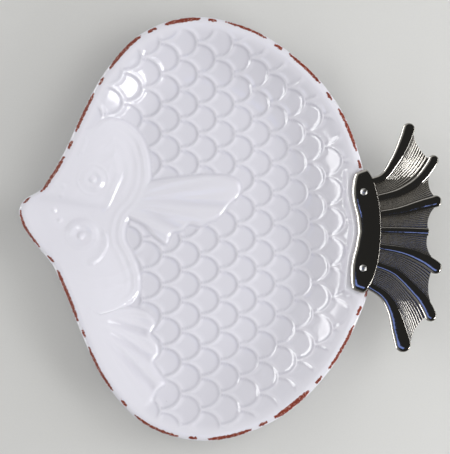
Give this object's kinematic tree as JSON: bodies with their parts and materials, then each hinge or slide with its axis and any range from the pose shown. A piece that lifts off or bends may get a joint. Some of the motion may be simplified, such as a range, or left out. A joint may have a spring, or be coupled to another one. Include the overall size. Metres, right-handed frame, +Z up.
{
  "type": "fish-shaped serving platter",
  "caption": "Shallow fish-shaped glazed earthenware serving platter with scales, face and fins in relief, and a polished cast metal tail screwed to its rim.",
  "frame": {"origin": "middle of the object's box, on the surface that it stands on", "axes": "+Z up out of the dish, +X from the mouth towards the tail, +Y across the fish towards its upper fin side"},
  "size_m": [0.359, 0.3608, 0.0453],
  "materials": {
    "glaze": "glossy white glaze, rubbed brown at the rim",
    "tail_metal": "polished casting",
    "fixings": "bright plated",
    "gasket": "matt"
  },
  "bodies": {
    "root": {"dish": "glaze", "tail_casting": "tail_metal", "tail_gasket": "gasket", "screw_upper": "fixings", "screw_lower": "fixings", "soft_washer_upper": "gasket", "soft_washer_lower": "gasket", "steel_washer_upper": "fixings", "steel_washer_lower": "fixings", "cap_nut_upper": "fixings", "cap_nut_lower": "fixings"}
  },
  "joints": []
}
